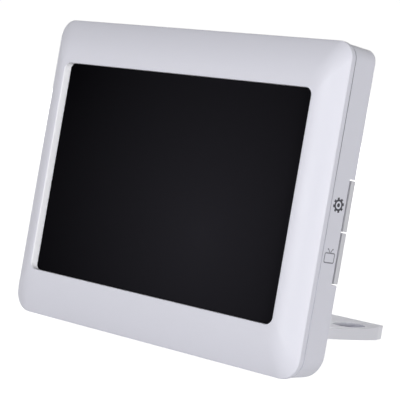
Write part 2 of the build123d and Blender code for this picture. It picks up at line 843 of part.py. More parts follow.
with BuildPart() as stand_leg:
    with BuildSketch(leg_side):
        with BuildLine():
            ThreePointArc((0, leg_half), (leg_length / 2, leg_middle_above), (leg_length, leg_tip_above))
            Line((leg_length, leg_tip_above), (leg_length, -leg_tip_below))
            ThreePointArc((leg_length, -leg_tip_below), (leg_length / 2, -leg_middle_below), (0, -leg_half))
            ThreePointArc((0, -leg_half), (-leg_half, 0), (0, leg_half))
        make_face()
    extrude(amount=leg_width / 2, both=True)
    with BuildSketch(leg_top):
        with BuildLine():
            Polyline(
                (-leg_width / 2, -leg_thickness),
                (leg_width / 2, -leg_thickness),
                (leg_width / 2, leg_length - leg_facet_length),
                (leg_width / 2 - leg_facet_inset, leg_length),
                (leg_facet_inset - leg_width / 2, leg_length),
                (-leg_width / 2, leg_length - leg_facet_length),
                close=True,
            )
        leg_outline = make_face()
        fillet(leg_outline.vertices().group_by(Axis.Y)[-1], leg_corner_radius)
        with Locations((leg_hole_across, leg_hole_along), (-leg_hole_across, leg_hole_along)):
            RectangleRounded(leg_hole_width, leg_hole_length, leg_hole_radius, mode=Mode.SUBTRACT)
    extrude(amount=leg_thickness, both=True, mode=Mode.INTERSECT)
    for side in (-1, 1):
        with BuildSketch(leg_side.offset(side * leg_width / 2)):
            Circle(pin_radius + pin_press_fit)
        extrude(amount=-side * pin_in_leg, mode=Mode.SUBTRACT)
    with BuildSketch(leg_side):
        with Locations((leg_pad_rear + pad_fit, leg_pad_seat - leg_tip_below)):
            Rectangle(leg_pad_width + 2 * pad_fit, leg_thickness, align=(Align.MAX, Align.MAX))
    extrude(amount=leg_pad_length / 2 + pad_fit, both=True, mode=Mode.SUBTRACT)

# Rubber strip under the leg's tip, cut level with the floor
with BuildPart() as leg_pad:
    with BuildSketch(leg_side):
        with Locations((leg_pad_rear, leg_pad_seat - leg_tip_below)):
            Rectangle(leg_pad_width, leg_thickness, align=(Align.MAX, Align.MAX))
    extrude(amount=leg_pad_length / 2, both=True)
    split(bisect_by=floor, keep=Keep.TOP)

# Steel pins pressed into the leg, which turn in the rear cover
with BuildPart() as hinge_pins:
    pin_length = pin_in_leg + recess_width / 2 - leg_width / 2 + pin_in_cover
    for side in (-1, 1):
        with BuildSketch(leg_side.offset(side * (leg_width / 2 - pin_in_leg))):
            Circle(pin_radius)
        extrude(amount=side * pin_length)

# Washers between the leg and the sides of its recess
with BuildPart() as hinge_washers:
    for side in (-1, 1):
        with BuildSketch(leg_side.offset(side * (leg_width / 2 + washer_gap))):
            Circle(washer_radius)
            Circle(pin_radius + pin_running_fit, mode=Mode.SUBTRACT)
        extrude(amount=side * washer_thickness)

# Each key with its switch and the plunger that it presses
for name, key_up in key_ups.items():
    with BuildPart() as key:
        with BuildSketch(level(key_front)):
            with Locations((key_across, key_up)):
                Rectangle(key_width, key_length)
        extrude(amount=-key_height)
        fillet(key.faces().sort_by(front_axis)[0].edges(), key_edge_radius)
        with BuildSketch(level(key_front)):
            with Locations((stem_across, key_up)):
                Rectangle(key_stem_width, key_stem_length)
        extrude(amount=key_front - stem_end)
        with BuildSketch(level(rebate_inside)):
            with Locations((stem_across, key_up)):
                Rectangle(key_stem_width, key_stem_length + 2 * (key_stem_fit + key_hook_reach))
        extrude(amount=key_hook_height)
    key.part.label = f"{name}_key"
    export_step(key.part, f"parts/{name}_key.step")

    plunger_front = switch_face - plunger_engagement
    with BuildPart() as switch:
        with BuildSketch(level(board_back_depth)):
            with Locations((stem_across, key_up)):
                Rectangle(switch_width, switch_width)
        extrude(amount=-switch_height)
        with BuildSketch(level(switch_face)):
            with Locations((stem_across, key_up)):
                Circle(plunger_radius + plunger_fit)
        extrude(amount=plunger_engagement + key_travel + plunger_spare, mode=Mode.SUBTRACT)
    switch.part.label = f"{name}_switch"
    export_step(switch.part, f"parts/{name}_switch.step")

    with BuildPart() as plunger:
        with BuildSketch(level(plunger_front)):
            with Locations((stem_across, key_up)):
                Circle(plunger_radius)
        extrude(amount=plunger_front - stem_end)
    plunger.part.label = f"{name}_plunger"
    export_step(plunger.part, f"parts/{name}_plunger.step")

pieces = {
    "front_bezel": front_bezel,
    "rear_cover": rear_cover,
    "display_window": display_window,
    "window_gasket": window_gasket,
    "lcd_glass": lcd_glass,
    "light_guide": light_guide,
    "lcd_backplate": lcd_backplate,
    "lcd_screws": lcd_screws,
    "case_screws": case_screws,
    "board_screws": board_screws,
    "key_board_screws": key_board_screws,
    "main_board": main_board,
    "processor_shield": processor_shield,
    "board_parts": board_parts,
    "display_ribbon": display_ribbon,
    "key_board": key_board,
    "key_ribbon": key_ribbon,
    "power_jack": power_jack,
    "usb_socket": usb_socket,
    "speaker_frame": speaker_frame,
    "speaker_cone": speaker_cone,
    "case_feet": case_feet,
    "stand_leg": stand_leg,
    "leg_pad": leg_pad,
    "hinge_pins": hinge_pins,
    "hinge_washers": hinge_washers,
}
for name, piece in pieces.items():
    piece.part.label = name
    export_step(piece.part, f"parts/{name}.step")
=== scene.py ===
import json
import math

import bmesh
import bpy
from bpy.props import FloatProperty, FloatVectorProperty, IntProperty, PointerProperty
from mathutils import Matrix, Vector


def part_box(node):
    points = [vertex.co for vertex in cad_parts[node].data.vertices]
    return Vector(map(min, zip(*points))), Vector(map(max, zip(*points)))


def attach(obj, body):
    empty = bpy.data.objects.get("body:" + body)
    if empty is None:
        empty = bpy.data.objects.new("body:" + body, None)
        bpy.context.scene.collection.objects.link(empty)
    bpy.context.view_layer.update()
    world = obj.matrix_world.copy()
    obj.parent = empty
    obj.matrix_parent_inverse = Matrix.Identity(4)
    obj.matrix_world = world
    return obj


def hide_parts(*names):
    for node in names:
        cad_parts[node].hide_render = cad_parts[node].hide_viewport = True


bl_info = {
    "name": "Digital photo frame",
    "version": (1, 0, 0),
    "blender": (4, 5, 0),
    "location": "3D View > Sidebar > Photo frame",
    "description": "Dresses the solids of a tabletop photo frame and sets up its studio",
    "category": "Object",
}

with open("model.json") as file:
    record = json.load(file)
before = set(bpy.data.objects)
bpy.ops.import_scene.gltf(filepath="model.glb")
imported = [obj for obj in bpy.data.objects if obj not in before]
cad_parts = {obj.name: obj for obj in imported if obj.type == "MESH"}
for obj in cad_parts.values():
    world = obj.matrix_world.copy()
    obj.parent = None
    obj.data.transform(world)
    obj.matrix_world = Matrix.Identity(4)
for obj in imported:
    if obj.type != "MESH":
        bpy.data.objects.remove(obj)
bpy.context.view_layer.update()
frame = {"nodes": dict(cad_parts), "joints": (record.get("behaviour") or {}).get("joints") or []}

MM = 0.001
LENS_MIDDLE = 1.7 * MM
PICTURE_PIXELS = 400
WAVE_RADIANS = 20


def joint_axis(name):
    """Direction of one of the frame's joints."""
    return Vector(next(j["axis"] for j in frame["joints"] if j["name"] == name)).normalized()


def panel_place():
    """Matrix from the leaning panel's own directions, across, depth and up, to the object's frame.

    It starts at the front edge of the window, which is LENS_MIDDLE before the middle of the window's box.
    """
    forward = joint_axis("upper_key_press")
    low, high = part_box("display_window")
    across = Vector((1, 0, 0))
    turn = Matrix((across, -forward, across.cross(-forward))).transposed().to_4x4()
    return Matrix.Translation((low + high) / 2 + forward * LENS_MIDDLE) @ turn


PANEL = panel_place()


def linear(hex_colour):
    """Linear red, green, blue and alpha of an sRGB hex colour."""
    shares = [int(hex_colour[i:i + 2], 16) / 255 for i in (1, 3, 5)]
    return [s / 12.92 if s <= 0.04045 else ((s + 0.055) / 1.055) ** 2.4 for s in shares] + [1.0]


def length(name, description, millimetres, least_mm=0.0):
    """A length that a user may change."""
    return FloatProperty(
        name=name, description=description, default=millimetres * MM, min=least_mm * MM, unit="LENGTH")


def colour(name, description, hex_colour):
    """A colour that a user may change."""
    return FloatVectorProperty(
        name=name, description=description, default=linear(hex_colour), size=4, min=0, max=1,
        subtype="COLOR")


class PhotoFrameSizes(bpy.types.PropertyGroup):
    """Sizes of the dressed pieces, measured in the leaning panel's own directions"""

    window_width: length("Window width", "Width of the window", 162.0)
    window_height: length("Window height", "Height of the window up the panel", 110.45)
    window_radius: length("Window corner", "Corner radius of the window", 3.0)
    side_run: length("Side draft", "How far the walls left and right of the window open forwards", 1.2)
    end_run: length(
        "End draft", "How far the walls above and below the window open forwards, or lean in if negative",
        -0.25, least_mm=-1.0)
    lip_rise: length("Wall height", "Height of the bezel's crest before the window's edge", 2.9)
    side_edge: length("Side edge", "Rounding of the walls' edges left and right of the window", 1.0)
    end_edge: length("End edge", "Rounding of the walls' edges above and below the window", 0.2)
    edge_steps: IntProperty(
        name="Edge steps", description="Steps round the edge of the wall", default=5, min=2)
    corner_growth: FloatProperty(
        name="Corner growth", description="Share of the side draft that the window's corners grow by",
        default=0.8, min=0)
    rim_edge: length("Rim edge", "Thickness of the bezel's edge at the window", 0.8)
    crest_land: length("Crest", "Width of the crest between the wall and the pillow", 0.2)
    case_width: length("Case width", "Width of the case", 192.4)
    case_height: length("Case height", "Height of the case up the panel", 157.5)
    top_radius: length("Upper corners", "Radius of the case's upper corners", 8.6)
    bottom_radius: length("Lower corners", "Radius of the case's lower corners", 10.5)
    pillow_drop: length("Pillow drop", "Fall of the bezel's face from its crest to its edge", 7.3)
    pillow_turn: FloatProperty(
        name="Pillow turn", description="Angle through which the bezel's face turns",
        default=math.radians(30.0), subtype="ANGLE")
    pillow_rings: IntProperty(
        name="Pillow rings", description="Loops across the bezel's face", default=14, min=4)
    corner_steps: IntProperty(
        name="Corner steps", description="Steps round each corner", default=14, min=4)
    edge_round: length("Edge rounding", "Radius between the bezel's face and its side", 0.5)
    side_lip: length("Side lip", "Depth of the bezel's side", 3.0)
    wall: length("Wall", "Thickness of the case's walls", 2.2)
    print_film: length("Print", "Thickness of a printed mark", 0.03)


class PhotoFrameColours(bpy.types.PropertyGroup):
    """Colours of the finishes"""

    case_white: colour("Case", "Moulded front and back of the case", "#E8E8F2")
    # Lighter than the case white, as a painted highlight on the wall round the window.
    wall_highlight_white: colour("Wall", "Polished wall round the window", "#FAFAFF")
    # Colour of the painted shade in the seam behind the bezel.
    seam_shade_grey: colour("Seam", "Dust and shade in the seam behind the bezel", "#BEBEC6")
    key_white: colour("Keys", "Moulded keys", "#DEDEE3")
    leg_white: colour("Leg", "Moulded leg", "#EEEEF5")
    # The window's colour where its painted sheen is brightest; it falls to painted shade at the edges.
    window_black: colour("Window", "Smoked window over the display", "#27262B")
    dark_ink: colour("Dark print", "Printed mark before the upper key", "#2C2C36")
    light_ink: colour("Light print", "Printed mark before the lower key", "#83838C")
    rubber_grey: colour("Rubber", "Feet and the strip under the leg", "#8A8A8E")


def add(tree, kind, settings=None, links=None):
    """Add a node, set its own values and its sockets, and link its sockets."""
    made = tree.nodes.new(kind)
    for key, value in (settings or {}).items():
        if isinstance(key, str) and key.islower():
            setattr(made, key, value)
        else:
            made.inputs[key].default_value = value
    for key, source in (links or {}).items():
        tree.links.new(source, made.inputs[key])
    return made


def new_finish(name, base, roughness, metallic=0.0, **sockets):
    """A material with one principled shader, its tree and the shader."""
    material = bpy.data.materials.new(name)
    material.use_nodes = True
    tree = material.node_tree
    tree.nodes.clear()
    settings = {"Base Color": base, "Roughness": roughness, "Metallic": metallic}
    settings.update({key.replace("_", " "): value for key, value in sockets.items()})
    shader = add(tree, "ShaderNodeBsdfPrincipled", settings)
    add(tree, "ShaderNodeOutputMaterial", links={"Surface": shader.outputs["BSDF"]})
    return material, tree, shader


def scaled(base, share):
    """A colour made darker or lighter by a share."""
    return [min(1.0, c * share) for c in base[:3]] + [1.0]


def mottle(tree, shader, base, share, size_mm, rough=None):
    """Let a finish's colour, and its roughness if a range is given, wander over patches of a size."""
    place = add(tree, "ShaderNodeTexCoord")
    patches = add(
        tree, "ShaderNodeTexNoise", {"Scale": 1 / (size_mm * MM), "Detail": 3.0, "Roughness": 0.55},
        {"Vector": place.outputs["Object"]})
    blend = add(
        tree, "ShaderNodeMix",
        {"data_type": "RGBA", 6: scaled(base, 1 - share), 7: scaled(base, 1 + share)},
        {0: patches.outputs["Fac"]})
    tree.links.new(blend.outputs[2], shader.inputs["Base Color"])
    if rough:
        spread = add(
            tree, "ShaderNodeMapRange",
            {"From Min": 0.3, "From Max": 0.7, "To Min": rough[0], "To Max": rough[1]},
            {"Value": patches.outputs["Fac"]})
        tree.links.new(spread.outputs["Result"], shader.inputs["Roughness"])
    return place


def grain(tree, shader, place, size_mm, depth_mm, strength):
    """Give a finish a fine moulded grain of a size and a depth."""
    specks = add(
        tree, "ShaderNodeTexNoise", {"Scale": 1 / (size_mm * MM), "Detail": 2.0, "Roughness": 0.5},
        {"Vector": place.outputs["Object"]})
    relief = add(
        tree, "ShaderNodeBump", {"Strength": strength, "Distance": depth_mm * MM},
        {"Height": specks.outputs["Fac"]})
    tree.links.new(relief.outputs["Normal"], shader.inputs["Normal"])


def moulded_abs(name, base, rough, grain_mm, grain_depth_mm, grain_strength=0.25, gloss=0.3):
    """White ABS from a polished mould: an even body with a soft sheen that wanders a little."""
    material, tree, shader = new_finish(name, base, rough[0], IOR=1.53, Specular_IOR_Level=gloss)
    place = mottle(tree, shader, base, 0.006, 35.0, rough)
    grain(tree, shader, place, grain_mm, grain_depth_mm, grain_strength)
    return material


def painted_seam_shade(material, near_mm, far_mm, dust):
    """Paint shade into a finish between two depths of the panel, in the seam behind the bezel, strongest
    high up and fading towards the bottom; the colour given as dust is the colour of that painted shade.
    """
    tree = material.node_tree
    shader = next(n for n in tree.nodes if n.type == "BSDF_PRINCIPLED")
    unshaded = shader.inputs["Base Color"].links[0].from_socket
    back = PANEL.col[1].to_3d()
    middle = PANEL.translation.dot(back) + (near_mm + far_mm) / 2 * MM
    place = add(tree, "ShaderNodeTexCoord")
    depth = add(
        tree, "ShaderNodeVectorMath", {"operation": "DOT_PRODUCT", 1: back}, {0: place.outputs["Object"]})
    # Mask of the seam's depths, where the shade is painted.
    inside = add(
        tree, "ShaderNodeMath", {"operation": "COMPARE", 1: middle, 2: (far_mm - near_mm) / 2 * MM},
        {0: depth.outputs["Value"]})
    up = PANEL.col[2].to_3d()
    level = PANEL.translation.dot(up)
    # The painted shade is strongest high up and fades towards the bottom, to a small share of its
    # strength.
    fade_reach, least_shade = 30 * MM, 0.15
    height = add(
        tree, "ShaderNodeVectorMath", {"operation": "DOT_PRODUCT", 1: up}, {0: place.outputs["Object"]})
    fade = add(
        tree, "ShaderNodeMapRange",
        {"From Min": level - fade_reach, "From Max": level + fade_reach,
         "To Min": least_shade, "To Max": 1.0},
        {"Value": height.outputs["Value"]})
    amount = add(
        tree, "ShaderNodeMath", {"operation": "MULTIPLY"}, {0: inside.outputs[0], 1: fade.outputs[0]})
    blend = add(
        tree, "ShaderNodeMix", {"data_type": "RGBA", 7: dust}, {0: amount.outputs[0], 6: unshaded})
    tree.links.new(blend.outputs[2], shader.inputs["Base Color"])


def smoked_acrylic(base):
    """Smoked acrylic with a matt coat over a dark display, with a painted sheen: a faint grey that dies
    away to painted shade at the edges.
    """
    material, tree, shader = new_finish(
        "smoked_acrylic", base, 0.35, IOR=1.49, Specular_IOR_Level=0.0)
    place = add(tree, "ShaderNodeTexCoord")
    # Painted sheen round a point below and right of the window's middle, falling to painted shade at the
    # edges.
    centre = PANEL @ Vector((28 * MM, 0, -21 * MM))
    reach = 142 * MM
    around = add(
        tree, "ShaderNodeMapping",
        {"vector_type": "TEXTURE", "Location": centre, "Scale": (reach, reach, reach)},
        {"Vector": place.outputs["Object"]})
    painted_sheen = add(
        tree, "ShaderNodeTexGradient", {"gradient_type": "SPHERICAL"},
        {"Vector": around.outputs["Vector"]})
    blend = add(
        tree, "ShaderNodeMix", {"data_type": "RGBA", 6: scaled(base, 0.05), 7: scaled(base, 1.0)},
        {0: painted_sheen.outputs["Fac"]})
    tree.links.new(blend.outputs[2], shader.inputs["Base Color"])
    return material


def moulded_rubber(base):
    """Moulded rubber: matt, with a pebbled skin and a little dust in it."""
    material, tree, shader = new_finish("moulded_rubber", base, 0.8, Specular_IOR_Level=0.3)
    place = mottle(tree, shader, base, 0.08, 4.0, (0.72, 0.9))
    grain(tree, shader, place, 0.5, 0.06, 0.5)
    return material


def pad_ink(name, base):
    """Pad-printed ink: a thin matt film whose cover is a little uneven."""
    material, tree, shader = new_finish(name, base, 0.55)
    mottle(tree, shader, base, 0.10, 0.7, (0.5, 0.65))
    return material


def plated_steel(name, base, rough, line_mm):
    """Plated steel sheet: grey metal with fine rolling lines that catch the light along one way."""
    material, tree, shader = new_finish(name, base, rough, metallic=1.0)
    place = mottle(tree, shader, base, 0.10, 6.0, (rough * 0.8, rough * 1.3))
    stretch = add(
        tree, "ShaderNodeMapping", {"Scale": (0.03, 1.0, 1.0)}, {"Vector": place.outputs["Object"]})
    lines = add(
        tree, "ShaderNodeTexNoise", {"Scale": 1 / (line_mm * MM), "Detail": 2.0},
        {"Vector": stretch.outputs["Vector"]})
    relief = add(
        tree, "ShaderNodeBump", {"Strength": 0.15, "Distance": 0.02 * MM},
        {"Height": lines.outputs["Fac"]})
    tree.links.new(relief.outputs["Normal"], shader.inputs["Normal"])
    return material


def filled_nylon(name, base):
    """Glass-filled nylon, moulded: dull, with faint flow marks and fibres at its skin."""
    material, tree, shader = new_finish(name, base, 0.5)
    place = mottle(tree, shader, base, 0.25, 3.0, (0.42, 0.6))
    grain(tree, shader, place, 0.35, 0.03, 0.35)
    return material


def solder_mask(base):
    """Circuit board: green lacquer over copper tracks, which show as paler lines on a fixed pitch."""
    material, tree, shader = new_finish("solder_mask", base, 0.35)
    place = add(tree, "ShaderNodeTexCoord")
    tracks = add(
        tree, "ShaderNodeTexBrick",
        {"Scale": 1 / (9.0 * MM), "Color1": scaled(base, 1.0), "Color2": scaled(base, 1.15),
         "Mortar": scaled(base, 2.2), "Mortar Size": 0.03, "Brick Width": 0.9, "Row Height": 0.16},
        {"Vector": place.outputs["Object"]})
    tree.links.new(tracks.outputs["Color"], shader.inputs["Base Color"])
    relief = add(
        tree, "ShaderNodeBump", {"Strength": 0.3, "Distance": 0.035 * MM},
        {"Height": tracks.outputs["Fac"]})
    tree.links.new(relief.outputs["Normal"], shader.inputs["Normal"])
    return material


def ribbon_film(base):
    """Flat cable: amber film over parallel copper conductors about 2 mm apart."""
    material, tree, shader = new_finish("ribbon_film", base, 0.3)
    pitch = 1.973 * MM  # a wave texture runs through WAVE_RADIANS in one unit of its own space
    place = add(tree, "ShaderNodeTexCoord")
    conductors = add(
        tree, "ShaderNodeTexWave",
        {"bands_direction": "X", "Scale": math.tau / WAVE_RADIANS / pitch, "Distortion": 0.0},
        {"Vector": place.outputs["Object"]})
    blend = add(
        tree, "ShaderNodeMix", {"data_type": "RGBA", 6: scaled(base, 0.7), 7: scaled(base, 1.25)},
        {0: conductors.outputs["Fac"]})
    tree.links.new(blend.outputs[2], shader.inputs["Base Color"])
    return material


def pressed_paper(base):
    """Pressed paper cone: dull black felted fibres."""
    material, tree, shader = new_finish("pressed_paper", base, 0.9)
    place = mottle(tree, shader, base, 0.3, 0.8)
    grain(tree, shader, place, 0.25, 0.05, 0.6)
    return material


def closed_foam(base):
    """Closed-cell foam tape: black, with small round cells."""
    material, tree, shader = new_finish("closed_foam", base, 0.95)
    place = add(tree, "ShaderNodeTexCoord")
    cells = add(
        tree, "ShaderNodeTexVoronoi", {"Scale": 1 / (0.5 * MM)}, {"Vector": place.outputs["Object"]})
    blend = add(
        tree, "ShaderNodeMix", {"data_type": "RGBA", 6: scaled(base, 0.6), 7: scaled(base, 1.6)},
        {0: cells.outputs["Distance"]})
    tree.links.new(blend.outputs[2], shader.inputs["Base Color"])
    return material


def display_glass(base):
    """Display glass over its dark polariser film: smooth and nearly black, with a faint grey cast."""
    material, tree, shader = new_finish("display_glass", base, 0.08, IOR=1.52)
    mottle(tree, shader, base, 0.15, 50.0, (0.06, 0.12))
    return material


def dotted_guide(base):
    """Acrylic light guide: clear sheet over white film, printed with small dots that spread its light."""
    material, tree, shader = new_finish("dotted_guide", base, 0.25, IOR=1.49)
    place = add(tree, "ShaderNodeTexCoord")
    dots = add(
        tree, "ShaderNodeTexVoronoi", {"Scale": 1 / (1.2 * MM), "Randomness": 0.1},
        {"Vector": place.outputs["Object"]})
    blend = add(
        tree, "ShaderNodeMix", {"data_type": "RGBA", 6: scaled(base, 1.0), 7: scaled(base, 0.85)},
        {0: dots.outputs["Distance"]})
    tree.links.new(blend.outputs[2], shader.inputs["Base Color"])
    return material


def even_normals(mesh, degrees):
    """Give each corner the mean direction of the faces round it that turn little, so flats stay flat."""
    limit = math.cos(math.radians(degrees))
    faces = [(face.normal.copy(), face.area, list(face.vertices)) for face in mesh.polygons]
    around = [[] for _ in mesh.vertices]
    for normal, area, corners in faces:
        for corner in corners:
            around[corner].append((normal, area))
    normals = []
    for normal, area, corners in faces:
        for corner in corners:
            mean = Vector()
            for other, size in around[corner]:
                if other.dot(normal) >= limit:
                    mean += other * size
            normals.append(mean.normalized() if mean.length > 0 else normal)
    mesh.normals_split_custom_set(normals)


def make_piece(name, bm, material, body, replaced=(), smooth_degrees=32.0, copied=True):
    """Turn a bmesh into a finished piece that rides on a body and stands for some nodes."""
    mesh = bpy.data.meshes.new(name)
    bm.to_mesh(mesh)
    bm.free()
    mesh.shade_smooth()
    if copied:
        even_normals(mesh, smooth_degrees)
    else:
        mesh.set_sharp_from_angle(angle=math.radians(smooth_degrees))
    mesh.materials.append(material)
    piece = bpy.data.objects.new(name, mesh)
    bpy.context.scene.collection.objects.link(piece)
    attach(piece, body)
    if replaced:
        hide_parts(*replaced)
    return piece


def node_copy(node):
    """A merged copy of a node's mesh, with its flat faces made whole again."""
    bm = bmesh.new()
    bm.from_mesh(frame["nodes"][node].data)
    bmesh.ops.remove_doubles(bm, verts=bm.verts, dist=0.001 * MM)
    bmesh.ops.dissolve_limit(
        bm, angle_limit=math.radians(0.02), use_dissolve_boundaries=False, verts=bm.verts, edges=bm.edges)
    return bm


def soften(bm, radius_mm, steps, least_degrees=50.0):
    """Round the sharp outer edges of a copied node a little, as a mould does."""
    sharp = [e for e in bm.edges if e.is_manifold and e.is_convex
             and e.calc_face_angle(0.0) > math.radians(least_degrees)]
    bmesh.ops.bevel(
        bm, geom=sharp, offset=radius_mm * MM, offset_type="OFFSET", segments=steps, profile=0.5,
        affect="EDGES", material=-1, clamp_overlap=True)


def dress_node(node, material):
    """Give a node that keeps its own shape a finish."""
    slots = frame["nodes"][node].data.materials
    slots.clear()
    slots.append(material)


def rounded_ring(bm, width, height, radii, depth, steps):
    """A closed loop of edges at a depth: a rectangle with its lower and upper corners rounded."""
    before = set(bm.edges)
    corners = [
        bm.verts.new((x * width / 2, depth, z * height / 2))
        for x, z in ((-1, -1), (1, -1), (1, 1), (-1, 1))]
    for i in range(4):
        bm.edges.new((corners[i - 1], corners[i]))
    for pair, radius in zip((corners[:2], corners[2:]), radii):
        bmesh.ops.bevel(
            bm, geom=pair, offset=radius, offset_type="OFFSET", segments=steps, profile=0.5,
            affect="VERTICES", material=-1, clamp_overlap=False)
    return [e for e in bm.edges if e not in before]


class PHOTO_FRAME_OT_bezel(bpy.types.Operator):
    """Pillow-shaped white front with a stepped wall round the window"""

    bl_idname = "photo_frame.bezel"
    bl_label = "Bezel"

    wall_loops: IntProperty(name="Wall loops", description="Loops of the polished wall", default=5)
    inner_loops: IntProperty(name="Inner loops", description="Loops across the face's inside", default=5)

    def rings(self, s):
        """Width, height, corner radii and depth of each loop, from the rim over the face to the inside."""
        def loop(grow_x, grow_z, radii, depth):
            return s.window_width + 2 * grow_x, s.window_height + 2 * grow_z, radii, depth

        def window_corner(side, end):
            return s.window_radius + end + s.corner_growth * side

        def near_window(side, end, depth):
            radius = window_corner(side, end)
            return loop(side, end, (radius, radius), depth)

        def near_edge(inset, depth):
            radii = (s.bottom_radius - inset, s.top_radius - inset)
            return loop(full_x - inset, full_z - inset, radii, depth)

        turn = s.pillow_turn
        crest_x = s.side_run + s.crest_land
        crest_z = s.end_run + s.crest_land
        full_x = (s.case_width - s.window_width) / 2
        full_z = (s.case_height - s.window_height) / 2
        crest_radius = window_corner(crest_x, crest_z)
        crease = s.pillow_drop - s.lip_rise
        first_turn, turn_span = 0.06, 0.9
        edge_curve = ((0.30, 0.10), (0.08, 0.45), (0.0, 1.0))
        seam_curve = ((0.0, 0.25 * MM), (0.08 * MM, 0.07 * MM), (0.25 * MM, 0.0), (s.wall, 0.0))

        def face(angle, behind=0.0, inset=0.0):
            share = math.sin(angle) / math.sin(turn)
            fall = (1 - math.cos(angle)) / (1 - math.cos(turn))
            thin = inset * share
            radii = [
                crest_radius + (r - crest_radius) * share - thin for r in (s.bottom_radius, s.top_radius)]
            return loop(
                crest_x + (full_x - crest_x) * share - thin, crest_z + (full_z - crest_z) * share - thin,
                radii, s.pillow_drop * fall - s.lip_rise + behind)

        yield near_window(0.0, 0.0, s.rim_edge)
        yield near_window(0.0, 0.0, 0.0)
        down = s.side_edge
        for step in range(s.edge_steps + 1):
            angle = math.pi / 2 * step / s.edge_steps
            out = 1 - math.cos(angle)
            yield near_window(
                s.side_run * (1 - down / s.lip_rise) + s.side_edge * out,
                s.end_run * (1 - down / s.lip_rise) + s.end_edge * out,
                down * (1 - math.sin(angle)) - s.lip_rise)
        for index in range(1, s.pillow_rings + 1):
            yield face(turn * (first_turn + turn_span * index / s.pillow_rings))
        for inset, back in edge_curve:
            yield near_edge(inset * s.edge_round, crease + back * s.edge_round)
        seam = crease + s.side_lip
        for inset, front in seam_curve:
            yield near_edge(inset, seam - front)
        for index in range(self.inner_loops, 0, -1):
            yield face(turn * index / (self.inner_loops + 1), s.lip_rise + s.rim_edge, s.wall)

    def execute(self, context):
        s = context.scene.photo_frame_sizes
        bm = bmesh.new()
        loops = [rounded_ring(bm, *ring, s.corner_steps) for ring in self.rings(s)]
        for index, (one, other) in enumerate(zip(loops, loops[1:] + loops[:1])):
            bridge = bmesh.ops.bridge_loops(bm, edges=one + other)["faces"]
            for face in bridge:
                face.material_index = int(index < self.wall_loops)
        bmesh.ops.recalc_face_normals(bm, faces=bm.faces)
        bmesh.ops.transform(bm, matrix=PANEL, verts=bm.verts)
        white = moulded_abs(
            "gloss_white_abs", context.scene.photo_frame_colours.case_white, (0.42, 0.50), 0.9, 0.012)
        # Real higher gloss on the wall, and a lighter colour that is a painted highlight.
        polished = moulded_abs(
            "polished_highlight_white_abs", context.scene.photo_frame_colours.wall_highlight_white, (0.36, 0.42), 0.9, 0.006,
            gloss=0.45)
        piece = make_piece(
            "bezel_shell", bm, white, "case", ["front_bezel"], 38.0, copied=False)
        piece.data.materials.append(polished)
        normals = piece.modifiers.new("even_normals", "WEIGHTED_NORMAL")
        normals.keep_sharp = True
        normals.weight = 80
        return {"FINISHED"}


class PHOTO_FRAME_OT_rear_shell(bpy.types.Operator):
    """White rear shell with the leg's recess, the keys' rebate, slots and inlets"""

    bl_idname = "photo_frame.rear_shell"
    bl_label = "Rear shell"

    seam_lift: length("Seam lift", "How far the floor of the seam is brought outwards", 0.75)

    def fill_seam(self, bm, s):
        """Bring the floor of the seam outwards, so that the seam shows as a thin line."""
        seam_front, seam_back = 7.3 * MM, 8.5 * MM
        least_inset, most_inset = 1.2 * MM, 1.6 * MM
        to_panel = PANEL.inverted()
        for vert in bm.verts:
            here = to_panel @ vert.co
            if not seam_front < here.y < seam_back:
                continue
            radius = s.top_radius if here.z > 0 else s.bottom_radius
            past = Vector((abs(here.x) - s.case_width / 2, 0, abs(here.z) - s.case_height / 2))
            past += Vector((radius, 0, radius))
            if past.x <= 0 or past.z <= 0:
                past = Vector((past.x, 0, 0)) if past.x > past.z else Vector((0, 0, past.z))
            if least_inset < radius - past.length < most_inset:
                out = past.normalized() * self.seam_lift
                here += Vector((math.copysign(out.x, here.x), 0, math.copysign(out.z, here.z)))
                vert.co = PANEL @ here

    def execute(self, context):
        white = moulded_abs(
            "grained_white_abs", context.scene.photo_frame_colours.case_white, (0.36, 0.46), 0.6, 0.02)
        # Painted shade in the seam behind the bezel, fading towards the bottom.
        painted_seam_shade(white, 7.3, 8.46, context.scene.photo_frame_colours.seam_shade_grey)
        bm = node_copy("rear_cover")
        self.fill_seam(bm, context.scene.photo_frame_sizes)
        make_piece("rear_shell", bm, white, "case", ["rear_cover"])
        return {"FINISHED"}


class PHOTO_FRAME_OT_keys(bpy.types.Operator):
    """Two long keys at the rear right corner"""

    bl_idname = "photo_frame.keys"
    bl_label = "Keys"

    def execute(self, context):
        white = moulded_abs(
            "key_abs", context.scene.photo_frame_colours.key_white, (0.34, 0.42), 0.6, 0.015)
        for key in ("upper_key", "lower_key"):
            bm = node_copy(key)
            soften(bm, 0.22, 2)
            make_piece(key + "_cap", bm, white, key, [key])
        return {"FINISHED"}


class PHOTO_FRAME_OT_leg(bpy.types.Operator):
    """Fold-out leg with its two openings"""

    bl_idname = "photo_frame.leg"
    bl_label = "Leg"

    def execute(self, context):
        white = moulded_abs(
            "leg_abs", context.scene.photo_frame_colours.leg_white, (0.36, 0.46), 0.6, 0.02)
        bm = node_copy("stand_leg")
        soften(bm, 0.3, 3)
        make_piece("leg_shell", bm, white, "leg", ["stand_leg"])
        return {"FINISHED"}


class PHOTO_FRAME_OT_rubber(bpy.types.Operator):
    """Rubber feet under the case and the strip under the leg"""

    bl_idname = "photo_frame.rubber"
    bl_label = "Rubber feet"

    def execute(self, context):
        rubber = moulded_rubber(context.scene.photo_frame_colours.rubber_grey)
        for node in ("case_feet", "leg_pad"):
            dress_node(node, rubber)
        return {"FINISHED"}


class PHOTO_FRAME_OT_window(bpy.types.Operator):
    """Smoked window over the display, with a painted sheen that dies away to painted shade at its edges"""

    bl_idname = "photo_frame.window"
    bl_label = "Window"

    def execute(self, context):
        dress_node("display_window", smoked_acrylic(context.scene.photo_frame_colours.window_black))
        return {"FINISHED"}


